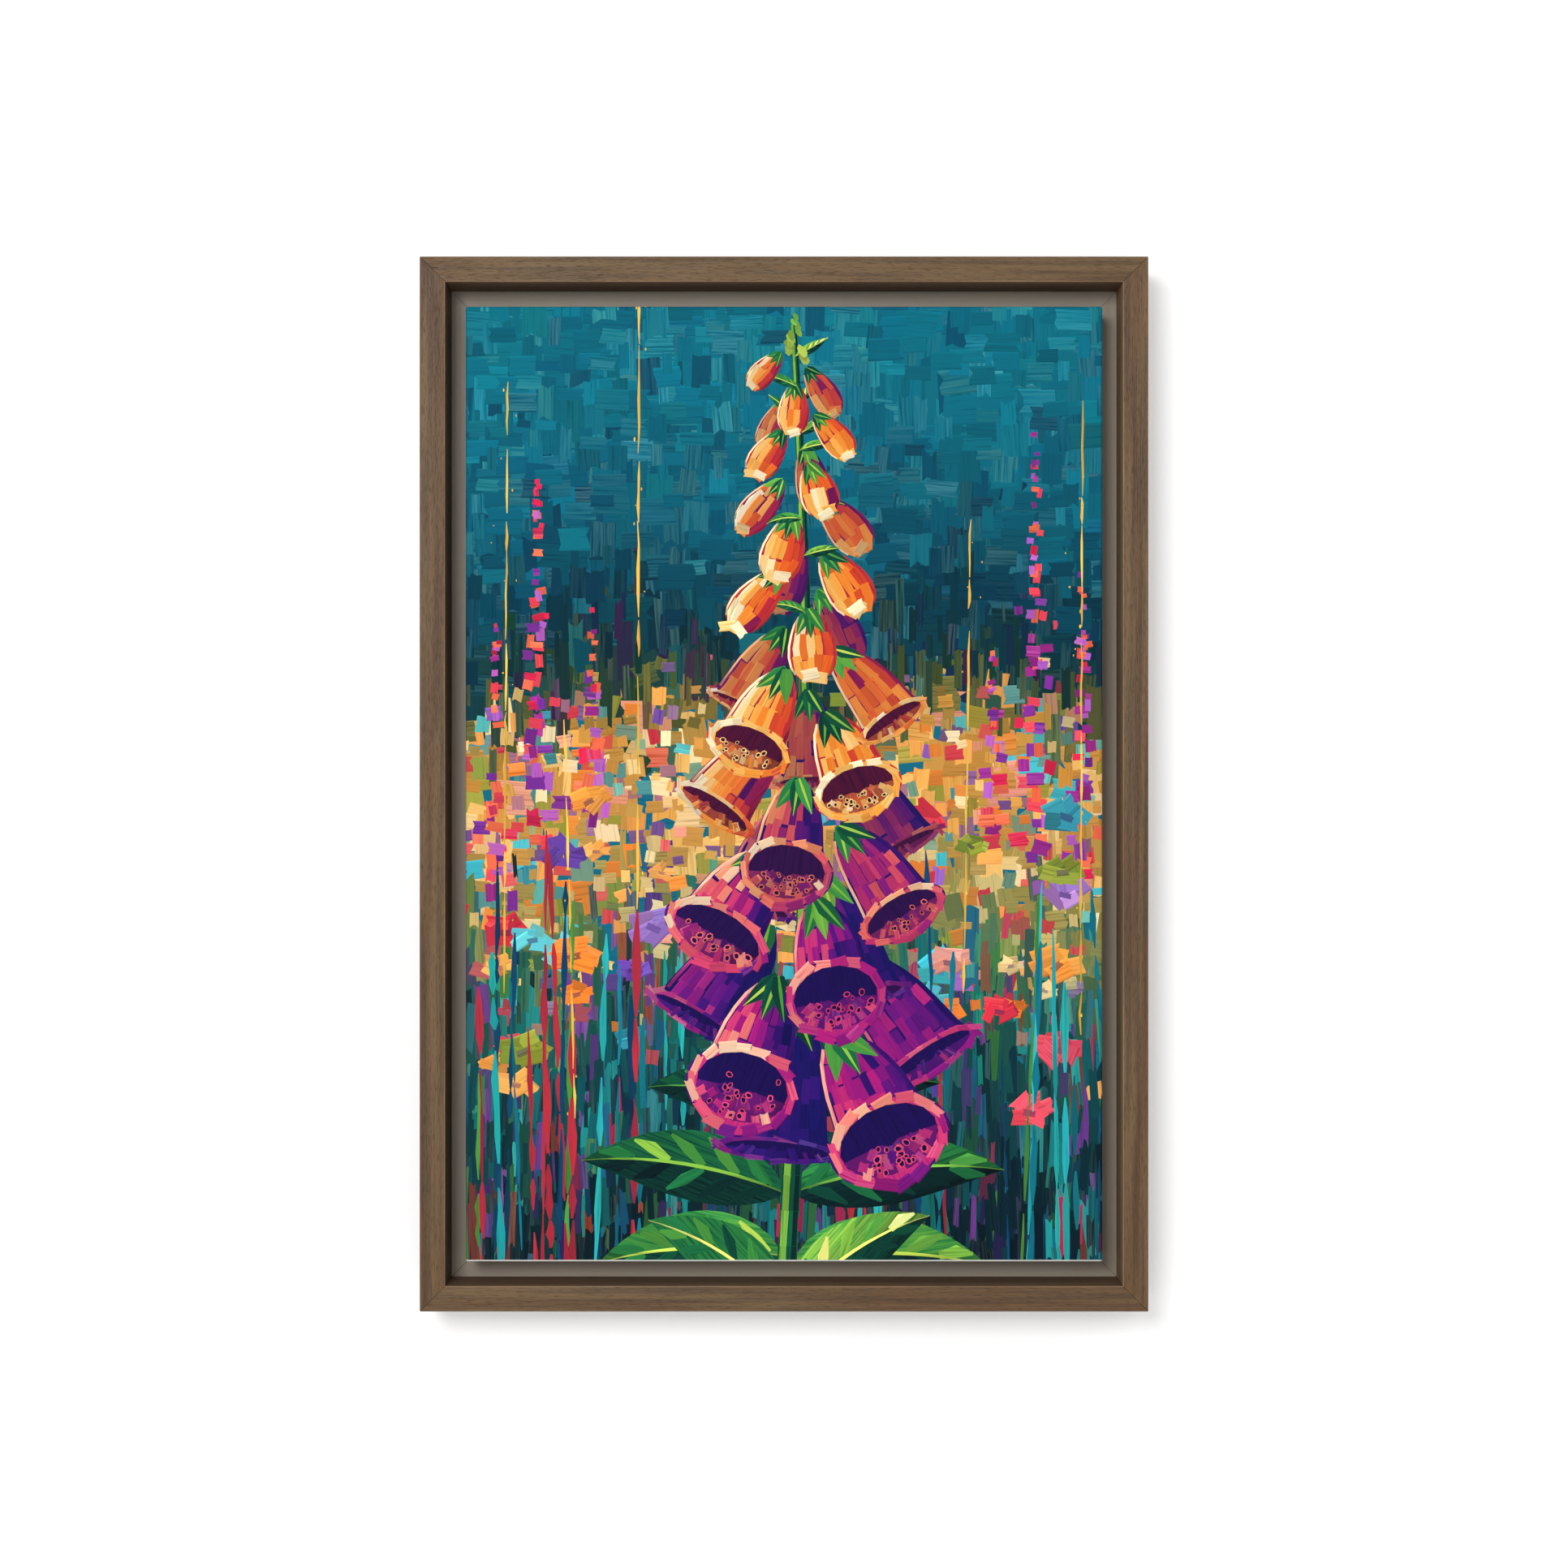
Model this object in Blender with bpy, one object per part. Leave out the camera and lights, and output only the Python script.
"""A canvas picture in a floater frame, with its stretcher bars, fixings, wall bumpers and hanger.

Metres, +Z up. The picture faces -Y. The origin is the centre notch of the hanger, on the back plane
of the frame, where a nail or hook in the wall carries the picture.
"""

import math

import bmesh
import bpy

# Driving dimensions.
CANVAS_WIDTH = 0.3048
CANVAS_HEIGHT = 0.4572
FACE_WIDTH = 0.0122  # front edge of the frame moulding
GAP_SIDE = 0.0093  # float gap left and right of the canvas
GAP_END = 0.0110  # float gap above and below it
FRAME_DEPTH = 0.0320
LEDGE_THICKNESS = 0.0080
MOULDING_WIDTH = 0.0340  # across the back of the L-shaped moulding
FRAME_TOP = 0.0220  # height of the frame's top edge over the hanger's notch

BAR_WIDTH = 0.0350
BAR_DEPTH = 0.0185
BAR_LIP = 0.0060  # flat front rim of a stretcher bar, which the cloth bears on
BAR_FALL = 0.0030  # how far its front slopes back from there
CLOTH = 0.0005
HEM = 0.0280  # cloth turned over the back of the bars
CLOTH_CORNER = 0.0012  # radius of the cloth round a corner or an edge

SEAT_GAP = 0.0003  # between pieces that rest on each other
MITRE_GAP = 0.0002
OVERRUN = 0.0010  # of a cutter past the face it cuts

STAPLE_CROWN = 0.0100
STAPLE_WIRE = 0.0006
STAPLE_BREADTH = 0.0012
STAPLE_LEG = 0.0060
STAPLE_BEND = 0.0003
STAPLE_INSET = 0.0200  # from the canvas edge
SCREW_INSET = 0.0065  # of a canvas screw, from the canvas edge
SCREW_RADIUS = 0.00175
SCREW_LENGTH = 0.0145
SCREW_HEAD_RADIUS = 0.0035
SCREW_HEAD_HEIGHT = 0.0020

V_NAIL_LEG = 0.0060
V_NAIL_THICKNESS = 0.0005
V_NAIL_INSETS = {"outer": (0.0040, 0.0070), "inner": (0.0220, 0.0055)}  # inset and height

FASTENER_LENGTH = 0.0240
FASTENER_WAVE = 0.0060
FASTENER_AMPLITUDE = 0.0012
FASTENER_THICKNESS = 0.0006
FASTENER_HEIGHT = 0.0095

HANGER_LENGTH = 0.0460
HANGER_TOP = 0.0090
HANGER_THICKNESS = 0.0009
HANGER_STANDOFF = 0.0020  # of its raised middle
HANGER_CORNER = 0.0010
TOOTH_PITCH = 0.0030
TOOTH_DEPTH = 0.0020
TEETH_EACH_SIDE = 4
HANGER_HOLE_X = 0.0190
HANGER_HOLE_Z = 0.0035
HANGER_HOLE_RADIUS = 0.0017
HANGER_SCREW_RADIUS = 0.00125
HANGER_SCREW_LENGTH = 0.0080
HANGER_SCREW_HEAD_RADIUS = 0.0026
HANGER_SCREW_HEAD_HEIGHT = 0.0012

BUMPER_RADIUS = 0.0050
BUMPER_HEIGHT = 0.0035
BUMPER_EDGE = 0.0012
BUMPER_INSET_X = 0.0300
BUMPER_INSET_Z = 0.0140

# Sizes that follow from them.
OUTER_WIDTH = CANVAS_WIDTH + 2 * (GAP_SIDE + FACE_WIDTH)
OUTER_HEIGHT = CANVAS_HEIGHT + 2 * (GAP_END + FACE_WIDTH)
CENTRE_Z = FRAME_TOP - OUTER_HEIGHT / 2
HEM_BACK = -LEDGE_THICKNESS - SEAT_GAP
BAR_BACK = HEM_BACK - CLOTH - SEAT_GAP
BAR_FRONT = BAR_BACK - BAR_DEPTH
CANVAS_FRONT = BAR_FRONT - SEAT_GAP - CLOTH
BAR_INSET = CLOTH + SEAT_GAP  # of a bar's outer edge, from the canvas edge

# Each side of the rectangle is built as the top one and turned about +Y.
TURN = {"top": 0, "right": 90, "bottom": 180, "left": 270}
CORNERS = [("top", "right"), ("right", "bottom"), ("bottom", "left"), ("left", "top")]
STAPLES_ON = {"top": 4, "right": 6, "bottom": 4, "left": 6}
SCREW_SPACING = {"top": 0.140, "right": 0.300, "bottom": 0.140, "left": 0.300}

FINISHES = {
    "dark_oak": ((0.157, 0.105, 0.063), 0.55, 0.0),
    "pine": ((0.610, 0.440, 0.255), 0.70, 0.0),
    "printed_canvas": ((0.160, 0.270, 0.270), 0.75, 0.0),
    "steel": ((0.560, 0.560, 0.570), 0.35, 1.0),
    "black_rubber": ((0.020, 0.020, 0.020), 0.80, 0.0),
}


def remove_all_objects():
    for obj in list(bpy.data.objects):
        bpy.data.objects.remove(obj, do_unlink=True)


def finish_material(name, finish):
    colour, roughness, metallic = FINISHES[finish]
    material = bpy.data.materials.new(name + "_" + finish)
    material.use_nodes = True
    shader = material.node_tree.nodes["Principled BSDF"]
    shader.inputs["Base Color"].default_value = (*colour, 1.0)
    shader.inputs["Roughness"].default_value = roughness
    shader.inputs["Metallic"].default_value = metallic
    return material


def add_object(name, bm, parent, finish=None):
    """Makes an object of bm. One with no finish is a cutter, and is left out of the part."""
    bmesh.ops.recalc_face_normals(bm, faces=bm.faces)
    mesh = bpy.data.meshes.new(name)
    bm.to_mesh(mesh)
    bm.free()
    mesh.shade_smooth()
    mesh.set_sharp_from_angle(angle=math.radians(35))
    obj = bpy.data.objects.new(name, mesh)
    bpy.context.scene.collection.objects.link(obj)
    obj.parent = parent
    if finish:
        mesh.materials.append(finish_material(name, finish))
    else:
        obj.hide_render = True
        obj.display_type = "WIRE"
    return obj


def turn_to(obj, side):
    obj.rotation_euler = (0.0, math.radians(TURN[side]), 0.0)
    return obj


def cut(obj, cutter):
    boolean = obj.modifiers.new("cut_" + cutter.name, "BOOLEAN")
    boolean.operation = "DIFFERENCE"
    boolean.solver = "EXACT"
    boolean.object = cutter


def half_sizes(side, width, height):
    """Half the length along this side, and half the size across the rectangle."""
    if side in ("top", "bottom"):
        return width / 2, height / 2
    return height / 2, width / 2


def arc(centre, radius, start, end, steps):
    """Points on an arc, with its angles in degrees."""
    angles = [math.radians(start + (end - start) * i / steps) for i in range(steps + 1)]
    return [(centre[0] + radius * math.cos(a), centre[1] + radius * math.sin(a)) for a in angles]


def add_prism(bm, outline, place, low, high):
    """A prism over an outline. place turns (a, b, level) into (x, y, z)."""
    rings = [[bm.verts.new(place(a, b, level)) for a, b in outline] for level in (low, high)]
    bm.faces.new(rings[0])
    bm.faces.new(rings[1])
    for i in range(len(outline)):
        j = (i + 1) % len(outline)
        bm.faces.new((rings[0][i], rings[0][j], rings[1][j], rings[1][i]))


def side_axes(along, y, across):
    """The axes of one side of the rectangle, before it is turned."""
    return (along, y, across)


def add_turned(bm, profile, centre, segments=16):
    """A solid turned about an axis along Y. The profile is (radius, y) and ends on the axis."""
    x0, z0 = centre
    rings = []
    for radius, y in profile:
        if radius == 0.0:
            rings.append([bm.verts.new((x0, y, z0))])
            continue
        angles = [2 * math.pi * i / segments for i in range(segments)]
        rings.append(
            [bm.verts.new((x0 + radius * math.cos(a), y, z0 + radius * math.sin(a))) for a in angles]
        )
    for lower, upper in zip(rings, rings[1:]):
        for i in range(segments):
            j = (i + 1) % segments
            below = [lower[i % len(lower)], lower[j % len(lower)]]
            above = [upper[j % len(upper)], upper[i % len(upper)]]
            bm.faces.new(list(dict.fromkeys(below + above)))


def add_round_cutter(bm, radius, centre, bottom):
    """A round hole's clearance, open at the back of the frame."""
    top = OVERRUN + HANGER_THICKNESS
    add_turned(bm, [(0.0, top), (radius, top), (radius, bottom), (0.0, bottom)], centre)


def mitred_stick(profile, half_length, half_across):
    """A stick along X with mitred ends. The profile is (inset from the outer edge, y)."""
    bm = bmesh.new()
    half_length -= MITRE_GAP / 2
    ends = [
        [bm.verts.new((sign * (half_length - inset), y, half_across - inset)) for inset, y in profile]
        for sign in (-1, 1)
    ]
    bm.faces.new(ends[0])
    bm.faces.new(ends[1])
    for i in range(len(profile)):
        j = (i + 1) % len(profile)
        bm.faces.new((ends[0][i], ends[0][j], ends[1][j], ends[1][i]))
    return bm


def rail_profile():
    """The L-shaped moulding: a wall round the canvas and a ledge behind it."""
    front = -FRAME_DEPTH
    outer, inner, lip = 0.0008, 0.0005, 0.0006
    return [
        (0.0, 0.0),
        *arc((outer, front + outer), outer, 180, 270, 3),
        *arc((FACE_WIDTH - inner, front + inner), inner, 270, 360, 3),
        (FACE_WIDTH, -LEDGE_THICKNESS),
        (MOULDING_WIDTH - lip, -LEDGE_THICKNESS),
        (MOULDING_WIDTH, -LEDGE_THICKNESS + lip),
        (MOULDING_WIDTH, 0.0),
    ]


def bar_profile():
    """A stretcher bar, whose front slopes back behind the cloth from its outer rim."""
    edge = 0.0010
    return [
        (0.0, BAR_BACK - edge),
        *arc((edge, BAR_FRONT + edge), edge, 180, 270, 3),
        (BAR_LIP, BAR_FRONT),
        (BAR_WIDTH, BAR_FRONT + BAR_FALL),
        (BAR_WIDTH, BAR_BACK),
        (edge, BAR_BACK),
    ]


def make_rails(centre):
    rails = {}
    for side in TURN:
        bm = mitred_stick(rail_profile(), *half_sizes(side, OUTER_WIDTH, OUTER_HEIGHT))
        rails[side] = turn_to(add_object("frame_rail_" + side, bm, centre, "dark_oak"), side)
    return rails


def make_bars(centre):
    bars = {}
    for side in TURN:
        width, height = CANVAS_WIDTH - 2 * BAR_INSET, CANVAS_HEIGHT - 2 * BAR_INSET
        bm = mitred_stick(bar_profile(), *half_sizes(side, width, height))
        bars[side] = turn_to(add_object("stretcher_bar_" + side, bm, centre, "pine"), side)
    return bars


def rounded_ring(bm, inset, radius, y, steps=3):
    """Vertices of a round-cornered rectangle, this far inside the canvas edge."""
    half_x, half_z = CANVAS_WIDTH / 2 - inset - radius, CANVAS_HEIGHT / 2 - inset - radius
    points = []
    for sign_x, sign_z, start in ((1, 1, 0), (-1, 1, 90), (-1, -1, 180), (1, -1, 270)):
        points += arc((sign_x * half_x, sign_z * half_z), radius, start, start + 90, steps)
    return [bm.verts.new((x, y, z)) for x, z in points]


def make_canvas(centre):
    """The cloth as one thin tray: front, four sides and the hem behind the bars."""
    bm = bmesh.new()
    edge = CLOTH_CORNER
    inner_edge = edge - CLOTH
    outside = [
        (edge - edge * math.cos(math.radians(a)), CANVAS_FRONT + edge - edge * math.sin(math.radians(a)))
        for a in (90, 60, 30, 0)
    ]
    inside = [
        (
            edge - inner_edge * math.cos(math.radians(a)),
            CANVAS_FRONT + edge - inner_edge * math.sin(math.radians(a)),
        )
        for a in (0, 30, 60, 90)
    ]
    rings = [rounded_ring(bm, inset, edge, y) for inset, y in outside]
    rings.append(rounded_ring(bm, 0.0, edge, HEM_BACK))
    rings.append(rounded_ring(bm, HEM, edge, HEM_BACK))
    rings.append(rounded_ring(bm, HEM, edge, HEM_BACK - CLOTH))
    rings.append(rounded_ring(bm, CLOTH, inner_edge, HEM_BACK - CLOTH))
    rings += [rounded_ring(bm, inset, inner_edge, y) for inset, y in inside]
    bm.faces.new(rings[0])
    bm.faces.new(rings[-1])
    for ring, following in zip(rings, rings[1:]):
        for i in range(len(ring)):
            j = (i + 1) % len(ring)
            bm.faces.new((ring[i], ring[j], following[j], following[i]))
    return add_object("canvas", bm, centre, "printed_canvas")


def staple_places(side):
    """How far along its side each staple sits from the middle."""
    half_length, _ = half_sizes(side, CANVAS_WIDTH, CANVAS_HEIGHT)
    reach = half_length - BAR_WIDTH - STAPLE_CROWN
    count = STAPLES_ON[side]
    return [reach * (2 * i / (count - 1) - 1) for i in range(count)]


def staple_outline():
    """The bent wire in a plane, as (along, y): a crown on the hem and two legs into the bar."""
    half, wire = STAPLE_CROWN / 2, STAPLE_WIRE
    under = HEM_BACK + SEAT_GAP
    top, tip = under + wire, under - STAPLE_LEG
    right = [(half - wire, tip), (half, tip), (half, top - STAPLE_BEND), (half - STAPLE_BEND, top)]
    left = [(-along, y) for along, y in reversed(right)]
    return [*right, *left, (-half + wire, under), (half - wire, under)]


def make_staples(centre):
    for side in TURN:
        _, half_across = half_sizes(side, CANVAS_WIDTH, CANVAS_HEIGHT)
        line = half_across - STAPLE_INSET
        for number, along in enumerate(staple_places(side), 1):
            bm = bmesh.new()
            outline = [(along + a, y) for a, y in staple_outline()]
            add_prism(bm, outline, side_axes, line - STAPLE_BREADTH / 2, line + STAPLE_BREADTH / 2)
            turn_to(add_object(f"staple_{side}_{number}", bm, centre, "steel"), side)


def screw_profile(radius, length, head_radius, head_height, seat):
    """From the top of a domed head at +Y to the point, with the head's underside at y = seat."""
    dome = head_height * 0.45
    return [
        (0.0, seat + head_height),
        (head_radius * 0.55, seat + head_height - dome * 0.25),
        (head_radius * 0.90, seat + head_height - dome),
        (head_radius, seat + head_height - 1.6 * dome),
        (head_radius, seat),
        (radius, seat),
        (radius, seat - length * 0.82),
        (radius * 0.15, seat - length),
        (0.0, seat - length),
    ]


def make_canvas_screws(centre):
    for side in TURN:
        _, half_across = half_sizes(side, CANVAS_WIDTH, CANVAS_HEIGHT)
        for number, sign in ((1, -1), (2, 1)):
            profile = screw_profile(
                SCREW_RADIUS, SCREW_LENGTH, SCREW_HEAD_RADIUS, SCREW_HEAD_HEIGHT, SEAT_GAP
            )
            bm = bmesh.new()
            add_turned(bm, profile, (sign * SCREW_SPACING[side] / 2, half_across - SCREW_INSET))
            turn_to(add_object(f"canvas_screw_{side}_{number}", bm, centre, "steel"), side)


def make_side_cutter(centre, side):
    """Clearance for one side's canvas screws and staple legs."""
    bm = bmesh.new()
    _, half_across = half_sizes(side, CANVAS_WIDTH, CANVAS_HEIGHT)
    for sign in (-1, 1):
        centre_of_hole = (sign * SCREW_SPACING[side] / 2, half_across - SCREW_INSET)
        add_round_cutter(bm, SCREW_RADIUS + SEAT_GAP, centre_of_hole, -SCREW_LENGTH)
    line = half_across - STAPLE_INSET
    half_breadth = STAPLE_BREADTH / 2 + SEAT_GAP
    half_wire = STAPLE_WIRE / 2 + SEAT_GAP
    low, high = HEM_BACK - STAPLE_LEG, HEM_BACK + OVERRUN
    for along in staple_places(side):
        for sign in (-1, 1):
            middle = along + sign * (STAPLE_CROWN - STAPLE_WIRE) / 2
            left, right = middle - half_wire, middle + half_wire
            outline = [(left, low), (right, low), (right, high), (left, high)]
            add_prism(bm, outline, side_axes, line - half_breadth, line + half_breadth)
    return turn_to(add_object("side_cutter_" + side, bm, centre), side)


def corner_place(corner):
    """A function that puts (inset, inset, y) of the frame's outer corner into the centre's axes."""
    right = "right" in corner
    top = "top" in corner
    sign_x, sign_z = (1 if right else -1), (1 if top else -1)

    def place(inset_x, inset_z, y):
        return (sign_x * (OUTER_WIDTH / 2 - inset_x), y, sign_z * (OUTER_HEIGHT / 2 - inset_z))

    return place


def corner_name(corner):
    vertical = "top" if "top" in corner else "bottom"
    return vertical + ("_right" if "right" in corner else "_left")


def v_outline(inset, clearance):
    """An L-shaped plate whose legs run into the two rails from the mitre."""
    low = inset - V_NAIL_THICKNESS / 2 - clearance
    high = inset + V_NAIL_THICKNESS / 2 + clearance
    end = inset + V_NAIL_LEG + clearance
    return [(low, low), (end, low), (end, high), (high, high), (high, end), (low, end)]


def make_v_nails(centre, rails):
    for corner in CORNERS:
        place, name = corner_place(corner), corner_name(corner)
        cutter = bmesh.new()
        for where, (inset, height) in V_NAIL_INSETS.items():
            bm = bmesh.new()
            add_prism(bm, v_outline(inset, 0.0), place, -SEAT_GAP, -SEAT_GAP - height)
            add_object(f"v_nail_{name}_{where}", bm, centre, "steel")
            add_prism(cutter, v_outline(inset, SEAT_GAP), place, OVERRUN, -2 * SEAT_GAP - height)
        slots = add_object("v_nail_slots_" + name, cutter, centre)
        for side in corner:
            cut(rails[side], slots)


def wave_outline(clearance):
    """A corrugated strip in plan, as (across the mitre, along it)."""
    half_length = FASTENER_LENGTH / 2 + clearance
    half_thick = FASTENER_THICKNESS / 2 + clearance
    steps = 24
    upper, lower = [], []
    for i in range(steps + 1):
        a = half_length * (2 * i / steps - 1)
        phase = 2 * math.pi * a / FASTENER_WAVE
        slope = FASTENER_AMPLITUDE * 2 * math.pi / FASTENER_WAVE * math.cos(phase)
        b = FASTENER_AMPLITUDE * math.sin(phase)
        reach = half_thick / math.hypot(1.0, slope)
        upper.append((a - slope * reach, b + reach))
        lower.append((a + slope * reach, b - reach))
    return upper + lower[::-1]


def make_corner_fasteners(centre, bars):
    """Corrugated strips driven across the stretcher mitres from behind, under the hem."""
    middle_x = GAP_SIDE + FACE_WIDTH + BAR_INSET + BAR_WIDTH / 2
    middle_z = GAP_END + FACE_WIDTH + BAR_INSET + BAR_WIDTH / 2
    half_root = math.sqrt(0.5)
    for corner in CORNERS:
        frame_place, name = corner_place(corner), corner_name(corner)

        def place(a, b, y, frame_place=frame_place):
            return frame_place(middle_x + (a + b) * half_root, middle_z + (b - a) * half_root, y)

        top = BAR_BACK - SEAT_GAP
        bm = bmesh.new()
        add_prism(bm, wave_outline(0.0), place, top, top - FASTENER_HEIGHT)
        add_object("corner_fastener_" + name, bm, centre, "steel")
        cutter = bmesh.new()
        bottom = top - FASTENER_HEIGHT - SEAT_GAP
        add_prism(cutter, wave_outline(SEAT_GAP), place, BAR_BACK + OVERRUN, bottom)
        slot = add_object("corner_fastener_slot_" + name, cutter, centre)
        for side in corner:
            cut(bars[side], slot)


def hanger_stations():
    """(x, z of the lower edge, y of the plate's front) from one end of the hanger to the other."""
    flat_end, half_length = TEETH_EACH_SIDE * TOOTH_PITCH, HANGER_LENGTH / 2
    right = []
    for i in range(2 * TEETH_EACH_SIDE + 1):
        right.append((i * TOOTH_PITCH / 2, -TOOTH_DEPTH if i % 2 else 0.0, HANGER_STANDOFF))
    right += [
        (flat_end + TOOTH_PITCH / 2, -TOOTH_DEPTH, HANGER_STANDOFF * 0.5),
        (flat_end + TOOTH_PITCH, -TOOTH_DEPTH, 0.0),
        (half_length - HANGER_CORNER, -TOOTH_DEPTH, 0.0),
        (half_length, -TOOTH_DEPTH + HANGER_CORNER, 0.0),
    ]
    left = [(-x, z, y) for x, z, y in reversed(right[1:])]
    return left + right


def make_hanger(hang_point):
    """The bent steel strip, with its toothed edge down and a screw hole at each end."""
    bm = bmesh.new()
    loops = []
    for x, low, y in hanger_stations():
        high = HANGER_TOP - (HANGER_CORNER if abs(x) == HANGER_LENGTH / 2 else 0.0)
        near = y + SEAT_GAP
        far = near + HANGER_THICKNESS
        section = ((near, low), (near, high), (far, high), (far, low))
        loops.append([bm.verts.new((x, depth, z)) for depth, z in section])
    for loop, following in zip(loops, loops[1:]):
        for i in range(4):
            j = (i + 1) % 4
            bm.faces.new((loop[i], loop[j], following[j], following[i]))
    bm.faces.new(loops[0])
    bm.faces.new(loops[-1])
    hanger = add_object("sawtooth_hanger", bm, hang_point, "steel")
    cutter = bmesh.new()
    for sign in (-1, 1):
        add_round_cutter(cutter, HANGER_HOLE_RADIUS, (sign * HANGER_HOLE_X, HANGER_HOLE_Z), -OVERRUN)
    cut(hanger, add_object("hanger_holes", cutter, hang_point))


def make_hanger_screws(hang_point, top_rail):
    seat = 2 * SEAT_GAP + HANGER_THICKNESS
    cutter = bmesh.new()
    for name, sign in (("left", -1), ("right", 1)):
        profile = screw_profile(
            HANGER_SCREW_RADIUS,
            HANGER_SCREW_LENGTH,
            HANGER_SCREW_HEAD_RADIUS,
            HANGER_SCREW_HEAD_HEIGHT,
            seat,
        )
        bm = bmesh.new()
        place = (sign * HANGER_HOLE_X, HANGER_HOLE_Z)
        add_turned(bm, profile, place, 12)
        add_object("hanger_screw_" + name, bm, hang_point, "steel")
        bottom = seat - HANGER_SCREW_LENGTH - SEAT_GAP
        add_round_cutter(cutter, HANGER_SCREW_RADIUS + SEAT_GAP, place, bottom)
    cut(top_rail, add_object("hanger_pilot_holes", cutter, hang_point))


def make_bumpers(centre):
    """Rubber discs on the bottom corners, which hold the frame parallel to the wall."""
    z = -OUTER_HEIGHT / 2 + BUMPER_INSET_Z
    low, high = SEAT_GAP, SEAT_GAP + BUMPER_HEIGHT
    round_edge = arc((BUMPER_RADIUS - BUMPER_EDGE, high - BUMPER_EDGE), BUMPER_EDGE, 90, 0, 4)
    profile = [(0.0, high), *round_edge, (BUMPER_RADIUS, low), (0.0, low)]
    for name, sign in (("left", -1), ("right", 1)):
        bm = bmesh.new()
        add_turned(bm, profile, (sign * (OUTER_WIDTH / 2 - BUMPER_INSET_X), z), 24)
        add_object("bumper_" + name, bm, centre, "black_rubber")


def add_empty(name, location, parent=None):
    empty = bpy.data.objects.new(name, None)
    bpy.context.scene.collection.objects.link(empty)
    empty.location = location
    empty.parent = parent
    return empty


def main():
    remove_all_objects()
    hang_point = add_empty("hang_point", (0.0, 0.0, 0.0))
    centre = add_empty("picture_centre", (0.0, 0.0, CENTRE_Z), hang_point)
    rails = make_rails(centre)
    bars = make_bars(centre)
    canvas = make_canvas(centre)
    make_v_nails(centre, rails)
    make_corner_fasteners(centre, bars)
    make_staples(centre)
    make_canvas_screws(centre)
    for side in TURN:
        cutter = make_side_cutter(centre, side)
        for obj in (rails[side], bars[side], canvas):
            cut(obj, cutter)
    make_hanger(hang_point)
    make_hanger_screws(hang_point, rails["top"])
    make_bumpers(centre)


main()
